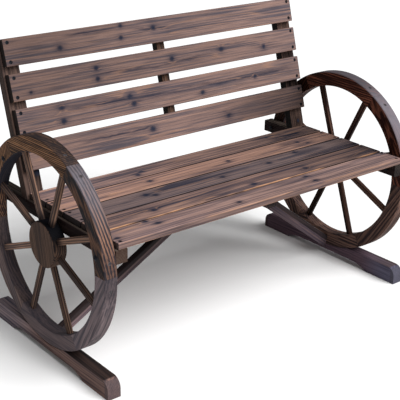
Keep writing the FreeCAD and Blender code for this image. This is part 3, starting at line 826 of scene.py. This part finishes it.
dress("centre_bearer", wood)

# Seat planks. Five flat-sawn fir planks with eased edges, two screws at each end and one from the
# bearer. They are the reddest pieces, with orange early wood, scorched streaks and dark knots.


def tones_and_light_group():
    """Tones a board along the bench, with its own tone and painted light and shade: a tone for its
    left end, its middle and its right end.

    The end tones set in at a distance from the bench's middle and are full near its ends.
    """
    takes = {"Vector": ("Place",), "Color": ("Wood",), "Float": ("Left", "Middle", "Right", "Begin")}
    group, given = new_group("tones and painted light along the bench", takes, {"Color": ("Color",)})
    full = 0.45
    width, _, _ = parts_of(group, given["Place"])
    leftwards = calc(group, "MULTIPLY", width, -1.0)
    tone = ramp(group, leftwards, (given["Begin"], full), given["Middle"], given["Left"])
    more = calc(group, "SUBTRACT", given["Right"], given["Middle"])
    tone = calc(group, "MULTIPLY_ADD", smooth(group, width, given["Begin"], full), more, tone)
    put_out(group, {"Color": mix_colour(group, 1.0, given["Wood"], plain_grey(group, tone), "MULTIPLY")})
    return group


tones_and_light_along = tones_and_light_group()


def put_tones_and_light_along(material, tones, begin=0.0):
    """Puts a tone at the left end, the middle and the right end over a board's wood; the tones are
    partly painted light and shade.
    """
    tree, base, wood = wood_in(material)
    left, middle, right = tones
    given = {"Place": own_place(tree), "Wood": wood.outputs["Color"], "Begin": begin}
    given.update({"Left": left, "Middle": middle, "Right": right})
    tree.links.new(placed(tree, tones_and_light_along, given)["Color"], base)
    return material


# The planks' flanks are painted dark, as painted shade in the gaps between them.
red_plank = {
    "Ring Width": 0.0050, "Stripe": 0.5, "Scorch": 0.85, "Gleam": 0.3, "Flank Shade": 0.95, "End": 0.9,
    "Pale": (0.225, 0.138, 0.112, 1.0), "Deep": (0.080, 0.058, 0.062, 1.0),
    "Char": (0.022, 0.023, 0.036, 1.0), "Bare": (0.52, 0.275, 0.150, 1.0),
}
warm_plank = {
    **red_plank, "Scorch": 0.75,
    "Pale": (0.300, 0.174, 0.132, 1.0), "Deep": (0.104, 0.070, 0.070, 1.0),
}
blue_plank = {
    **red_plank, "Scorch": 0.8,
    "Pale": (0.158, 0.112, 0.106, 1.0), "Deep": (0.058, 0.050, 0.062, 1.0),
}
worn_plank = {**red_plank, "Low Wear": 1.0}
front_plank = {
    **red_plank, "Scorch": 0.5, "End": 0.6, "Flank Shade": 0.45, "Low Wear": 0.4, "High Wear": 0.25,
    "Pale": (0.315, 0.202, 0.174, 1.0), "Deep": (0.120, 0.087, 0.095, 1.0),
}

# Each plank, from the back, has its wood, its tones along the bench, which are partly painted light
# and shade, its knots and its scorch marks.
planks = (
    (
        red_plank, (1.75, 1.06, 0.66),
        ((-0.186, -0.019, 0.0055), (-0.165, -0.004, 0.004), (0.30, 0.01, 0.004)),
        ((0.22, 0.012, 0.41, 0.016, 0.013), (0.27, -0.016, 0.45, -0.012, 0.014)),
    ),
    (
        warm_plank, (1.3, 1.05, 0.9),
        ((-0.188, 0.004, 0.0055), (0.077, 0.001, 0.005), (0.347, 0.006, 0.006), (0.367, -0.019, 0.005)),
        ((0.25, 0.010, 0.43, 0.014, 0.013), (0.29, -0.018, 0.42, -0.016, 0.010)),
    ),
    (
        blue_plank, (1.0, 1.0, 0.85),
        ((-0.255, 0.009, 0.006), (-0.236, -0.006, 0.0055), (-0.016, -0.008, 0.005), (0.157, 0.0, 0.006),
         (0.277, 0.022, 0.006)),
        ((0.24, -0.016, 0.58, -0.026, 0.011), (0.24, 0.014, 0.40, 0.010, 0.012)),
    ),
    (
        worn_plank, (1.15, 1.16, 0.7),
        ((-0.298, -0.004, 0.006), (0.015, -0.017, 0.006), (0.209, -0.012, 0.007)),
        ((0.29, -0.012, 0.58, -0.026, 0.012),),
    ),
    (
        front_plank, (1.05, 0.97, 1.0),
        ((-0.466, -0.009, 0.0055), (-0.358, 0.030, 0.0045), (-0.339, 0.005, 0.005), (-0.099, -0.010, 0.005),
         (0.163, 0.019, 0.004), (0.164, -0.015, 0.005)),
        ((0.33, 0.035, 0.56, 0.027, 0.005),),
    ),
)
end_inset, edge_inset = 0.0115, 0.010
plank_heads = []
for index, (finish, tones, knots, marks) in enumerate(planks):
    name = f"seat_plank_{index + 1}"
    low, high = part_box(name)
    centre, half = middle_and_half(low, high)
    pith = (0.018 * (-1) ** index, -0.06)
    seed = 11.3 * index + 2
    wood = board_material(name, centre, (1, 0, 0), (0, 1, 0), pith, seed, finish, half, knots, marks)
    dress(name, put_tones_and_light_along(wood, tones))
    ends, edges = (low[0] + end_inset, high[0] - end_inset), (low[1] + edge_inset, high[1] - edge_inset)
    plank_heads += [(x, y, high[2] - head_sink) for x in ends for y in edges]
upwards = (0.0, 0.0, 1.0)
plank_screws = fasteners(
    "plank_screw_heads", plank_heads, upwards, screw_rings(0.038), cross_recess, black_steel)
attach(plank_screws, "root")
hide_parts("plank_screws")
back_plank_middle, plank_pitch = 0.0852, 0.0781
bearer_head_height = 0.3561
bearer_heads = [
    (0.0, back_plank_middle - plank_pitch * index, bearer_head_height)
    for index in range(len(planks))
]
bearer_screws = fasteners(
    "bearer_screw_heads", bearer_heads, downwards, screw_rings(0.028), cross_recess, black_steel)
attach(bearer_screws, "root")
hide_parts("bearer_screws")

# Back posts and batten. Leaning fir posts, halved over the rails and bolted to the wheels, carry
# the slat ends; a thinner batten ties the slats together behind the middle of the back.

back_tilt = math.radians(16.5)
up_back = np.array((0.0, math.sin(back_tilt), math.cos(back_tilt)))
from_back = np.array((0.0, -math.cos(back_tilt), math.sin(back_tilt)))
back_foot = np.array((0.0, 0.10653, 0.390))
# The posts' and the batten's flanks are painted dark, as painted shade on the sides turned from the light.
post_fir = {
    **dark_fir, "Flank Shade": 0.95,
    "Pale": (0.132, 0.075, 0.050, 1.0), "Deep": (0.040, 0.026, 0.022, 1.0),
    "Char": (0.004, 0.003, 0.003, 1.0),
}
brown_post = {
    **post_fir, "Flank Shade": 0.55,
    "Pale": (0.122, 0.078, 0.063, 1.0), "Deep": (0.045, 0.030, 0.027, 1.0),
}
umber_post = {**post_fir, "Pale": (0.108, 0.066, 0.052, 1.0), "Deep": (0.036, 0.024, 0.022, 1.0)}

# Each upright has its seed, wood, half width, and knots and scorch marks by their rise from the seat.
uprights = (
    # The left post's knot, just under the lowest slat, is that slat's shadow painted on the post, and the
    # right post's two scorch marks, in the gaps between the lower slats, are painted shade.
    ("left_post", 12.0, brown_post, 0.025, ((0.051, 0.0175, 0.007),), ()),
    ("right_post", 37.0, umber_post, 0.025,
     ((0.020, 0.004, 0.004),), ((0.110, 0.163, 0.04), (0.195, 0.235, 0.03))),
    ("back_batten", 66.0, post_fir, 0.01325, (), ()),
)
upright_pith = (0.03, 0.04)
for name, seed, finish, half_width, knots, marks in uprights:
    centre, _ = middle_and_half(*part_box(name))
    foot = float(np.dot(back_foot - centre, up_back))
    knots = [(foot + rise, across, size) for rise, across, size in knots]
    marks = [(foot + start, 0.0, foot + stop, 0.0, width) for start, stop, width in marks]
    half = (endless, half_width, endless)
    wood = board_material(name, centre, up_back, (1, 0, 0), upright_pith, seed, finish, half, knots, marks)
    dress(name, wood)

# Back slats. Four fir boards across the posts, greyer than the seat, with dark knots and long
# scorched streaks; two screws hold each end and two more come through the batten from behind.

mauve_slat = {
    "Ring Width": 0.0060, "Stripe": 0.3, "Thread": 0.68, "Fine": 1.9, "Scorch": 0.15, "Gleam": 0.35,
    "End": 0.92, "Low Wear": 0.5, "High Wear": 0.3,
    "Pale": (0.190, 0.121, 0.103, 1.0), "Deep": (0.068, 0.056, 0.065, 1.0),
    "Char": (0.022, 0.023, 0.036, 1.0), "Bare": (0.30, 0.165, 0.105, 1.0),
}

# Each slat, from the top, has its tones along the bench, partly painted light and shade such as the
# shadow on the lowest slat's right end, its knots and its scorch marks.
slats = (
    (
        (0.64, 0.95, 1.15),
        ((-0.326, -0.008, 0.0055), (-0.138, -0.006, 0.004), (-0.134, 0.025, 0.004), (-0.030, 0.007, 0.0055)),
        ((-0.33, 0.021, -0.12, 0.019, 0.004), (-0.12, 0.010, 0.07, 0.001, 0.003)),
    ),
    (
        (0.70, 0.90, 1.10),
        ((-0.231, 0.014, 0.005), (-0.231, -0.014, 0.005), (0.016, 0.004, 0.005), (-0.431, -0.017, 0.003),
         (0.193, 0.007, 0.005), (0.354, -0.007, 0.005)),
        ((-0.30, 0.0, 0.06, -0.011, 0.0035), (-0.06, -0.008, 0.14, -0.004, 0.0035)),
    ),
    (
        (0.95, 1.07, 1.04),
        ((-0.353, 0.017, 0.0055), (-0.354, -0.016, 0.006), (-0.142, 0.013, 0.0055), (-0.132, -0.008, 0.006),
         (0.103, -0.015, 0.005), (0.304, 0.0, 0.0045)),
        ((-0.45, 0.014, 0.20, -0.006, 0.0085), (-0.08, 0.002, 0.60, 0.005, 0.0065)),
    ),
    (
        (0.95, 1.17, 0.45),
        ((-0.086, 0.002, 0.006), (0.184, -0.007, 0.005)),
        ((-0.34, 0.012, -0.10, 0.001, 0.004), (-0.19, 0.0, -0.070, 0.013, 0.0035)),
    ),
)
slat_half_width, slat_half_depth = 0.034, 0.010
lowest_slat, slat_pitch = 0.0585, 0.0867
slat_head_x, slat_head_rises = 0.470, (0.010, 0.058)
batten_head_depth, batten_head_rises = 0.0409, (0.017, 0.051)
slat_heads, batten_heads = [], []
for index, (tones, knots, marks) in enumerate(slats):
    name = f"back_slat_{index + 1}"
    centre, half = middle_and_half(*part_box(name))
    half = (half[0], slat_half_width, slat_half_depth)
    pith = (0.02 * (-1) ** index, -0.07)
    seed = 13.7 * index + 5
    wood = board_material(name, centre, (1, 0, 0), up_back, pith, seed, mauve_slat, half, knots, marks)
    dress(name, put_tones_and_light_along(wood, tones))
    edge = lowest_slat + slat_pitch * (len(slats) - 1 - index)
    slat_heads += [back_foot + up_back * (edge + rise) - from_back * head_sink + (x, 0.0, 0.0)
                   for x in (-slat_head_x, slat_head_x) for rise in slat_head_rises]
    batten_heads += [back_foot + up_back * (edge + rise) - from_back * batten_head_depth
                     for rise in batten_head_rises]
slat_screws = fasteners(
    "slat_screw_heads", slat_heads, from_back, screw_rings(0.036), cross_recess, black_steel)
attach(slat_screws, "root")
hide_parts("slat_screws")
batten_screws = fasteners(
    "batten_screw_heads", batten_heads, -from_back, screw_rings(0.034), cross_recess, black_steel)
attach(batten_screws, "root")
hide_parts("batten_screws")

# Braces. Two fir bars from the wheel bottoms up to the middle of the seat, in one plane that
# leans forward, cut plumb at the wheels and screwed at both ends.

# The braces' flanks are painted dark, as painted shade under the seat, and their tones along the bench are
# partly painted light and shade.
black_brace = {
    **dark_fir, "Flank Shade": 0.85,
    "Pale": (0.081, 0.054, 0.053, 1.0), "Deep": (0.033, 0.025, 0.032, 1.0),
    "Char": (0.008, 0.008, 0.012, 1.0),
}
brown_brace = {**black_brace, "Flank Shade": 0.74}
braces = (
    ("left", -1, black_brace, (2.7, 0.82, 0.82)),
    ("right", 1, brown_brace, (1.65, 1.65, 2.0)),
)
brace_forward, brace_height, brace_span = 0.079, 0.3338, 0.4625
brace_half = (endless, 0.0165, 0.00825)
brace_pith = (-0.04, 0.03)
brace_tones_begin = 0.27
brace_lean = math.atan2(brace_forward, brace_height)
brace_rise = math.atan2(brace_height / math.cos(brace_lean), brace_span)
climb, level = math.sin(brace_rise), math.cos(brace_rise)
for side, way, finish, tones in braces:
    name = side + "_brace"
    centre, _ = middle_and_half(*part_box(name))
    along = (-way * level, -climb * math.sin(brace_lean), climb * math.cos(brace_lean))
    across = (way * climb, -level * math.sin(brace_lean), level * math.cos(brace_lean))
    seed = 8.9 * way + 70
    wood = board_material(name, centre, along, across, brace_pith, seed, finish, brace_half)
    dress(name, put_tones_and_light_along(wood, tones, brace_tones_begin))
dress("brace_screws", black_steel)

# Wheel bolts and nuts. Black domed bolts through the rims, two into each rail and one into each
# post, with a hexagon socket in the head and a plain nut on the inside.


def bolt_rings(length):
    """A dome 14.5 mm across and 3.2 mm high on a ball of 9.81 mm radius, over a 6 mm shank."""
    across = np.array((0.6, 1.4, 2.0, 2.3, 2.4, 3.4, 4.6, 5.8, 6.7, 7.25)) / 1000
    rise = np.sqrt(0.00981**2 - across**2) - 0.00661
    shank = [(0.003, 0.0), (0.003, length - 0.001), (0.002, length - 0.002)]
    return [*zip(across, -rise), (0.0072, 0.0), *shank]


def hexagon_recess(radius, angle):
    """A six-sided socket 4 mm across its flats, 2 mm deep."""
    turned = np.mod(angle, np.pi / 3) - np.pi / 6
    return np.where(radius * np.cos(turned) < 0.002, 0.002, 0.0) * (radius < 0.00235)


wheel_face_x = wheel_middle_x + rim_thickness / 2
rail_bolt_depth, rail_bolt_height = 0.2347, 0.3565
post_bolt_depth, post_bolt_height = 0.16639, 0.47765
rail_heads = [
    (way * wheel_face_x, depth, rail_bolt_height)
    for way in (-1, 1) for depth in (-rail_bolt_depth, rail_bolt_depth)
]
post_heads = [(way * wheel_face_x, post_bolt_depth, post_bolt_height) for way in (-1, 1)]
for name, heads, length in (("rail_bolts", rail_heads, 0.0755), ("post_bolts", post_heads, 0.0935)):
    outs = np.sign(heads) * (1.0, 0.0, 0.0)
    wheel_bolts = fasteners(name, heads, outs, bolt_rings(length), hexagon_recess, black_steel, around=36)
    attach(wheel_bolts, "root")
    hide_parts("wheel_bolts")
dress("wheel_nuts", black_steel)

# Floor, light and camera. A pale studio floor, a broad soft key from the front right and above,
# and even light all round; the camera stands to the front left and looks down on the bench.

floor_mesh = bpy.data.meshes.new("floor")
floor_half = 14.0
floor_corners = [(x * floor_half, y * floor_half, 0) for x, y in ((-1, -1), (1, -1), (1, 1), (-1, 1))]
floor_mesh.from_pydata(floor_corners, [], [(0, 1, 2, 3)])
floor = bpy.data.objects.new("floor", floor_mesh)
bpy.context.scene.collection.objects.link(floor)
floor_paint = bpy.data.materials.new("floor_paint")
floor_paint.use_nodes = True
floor_shader = floor_paint.node_tree.nodes["Principled BSDF"]
floor_shader.inputs["Base Color"].default_value = (0.86, 0.86, 0.86, 1.0)
floor_shader.inputs["Roughness"].default_value = 0.9
floor_mesh.materials.append(floor_paint)

world = bpy.data.worlds.new("studio")
world.use_nodes = True
soft_light = world.node_tree.nodes["Background"]
soft_light.inputs["Color"].default_value = (1.0, 1.0, 1.0, 1.0)
soft_light.inputs["Strength"].default_value = 0.27
pale_wall = add_node(world.node_tree, "Background", {"Color": (0.96, 0.96, 0.96, 1.0), "Strength": 1.0})
seen = add_node(world.node_tree, "LightPath").outputs["Is Camera Ray"]
studio = add_node(world.node_tree, "MixShader", {0: seen, 1: soft_light.outputs[0], 2: pale_wall.outputs[0]})
world.node_tree.links.new(studio.outputs[0], world.node_tree.nodes["World Output"].inputs["Surface"])
bpy.context.scene.world = world
bpy.context.scene.view_settings.view_transform = "Standard"

key = bpy.data.lights.new("key", "SUN")
key.energy = 4.6
key.angle = math.radians(45)
key_lamp = bpy.data.objects.new("key", key)
key_lamp.rotation_euler = Vector((0.25, -0.85, 0.9)).to_track_quat("Z", "Y").to_euler()
bpy.context.scene.collection.objects.link(key_lamp)

camera = bpy.data.cameras.new("camera")
camera.lens = 89.0
camera.sensor_width = 36.0
camera.shift_x = 0.0398
camera.shift_y = 0.0745
camera.clip_end = 100.0
camera_place = (-1.6278, -1.9138, 1.2979)
around, over, roll = math.radians(-38.95), math.radians(23.5), math.radians(0.84)
back = Vector((math.sin(around) * math.cos(over), -math.cos(around) * math.cos(over), math.sin(over)))
right = Vector((math.cos(around), math.sin(around), 0.0))
up = back.cross(right)
turned_right = right * math.cos(roll) + up * math.sin(roll)
turned_up = up * math.cos(roll) - right * math.sin(roll)
turned = Matrix((turned_right, turned_up, back)).transposed().to_4x4()
stand = bpy.data.objects.new("camera", camera)
stand.matrix_world = Matrix.Translation(camera_place) @ turned
bpy.context.scene.collection.objects.link(stand)
bpy.context.scene.camera = stand
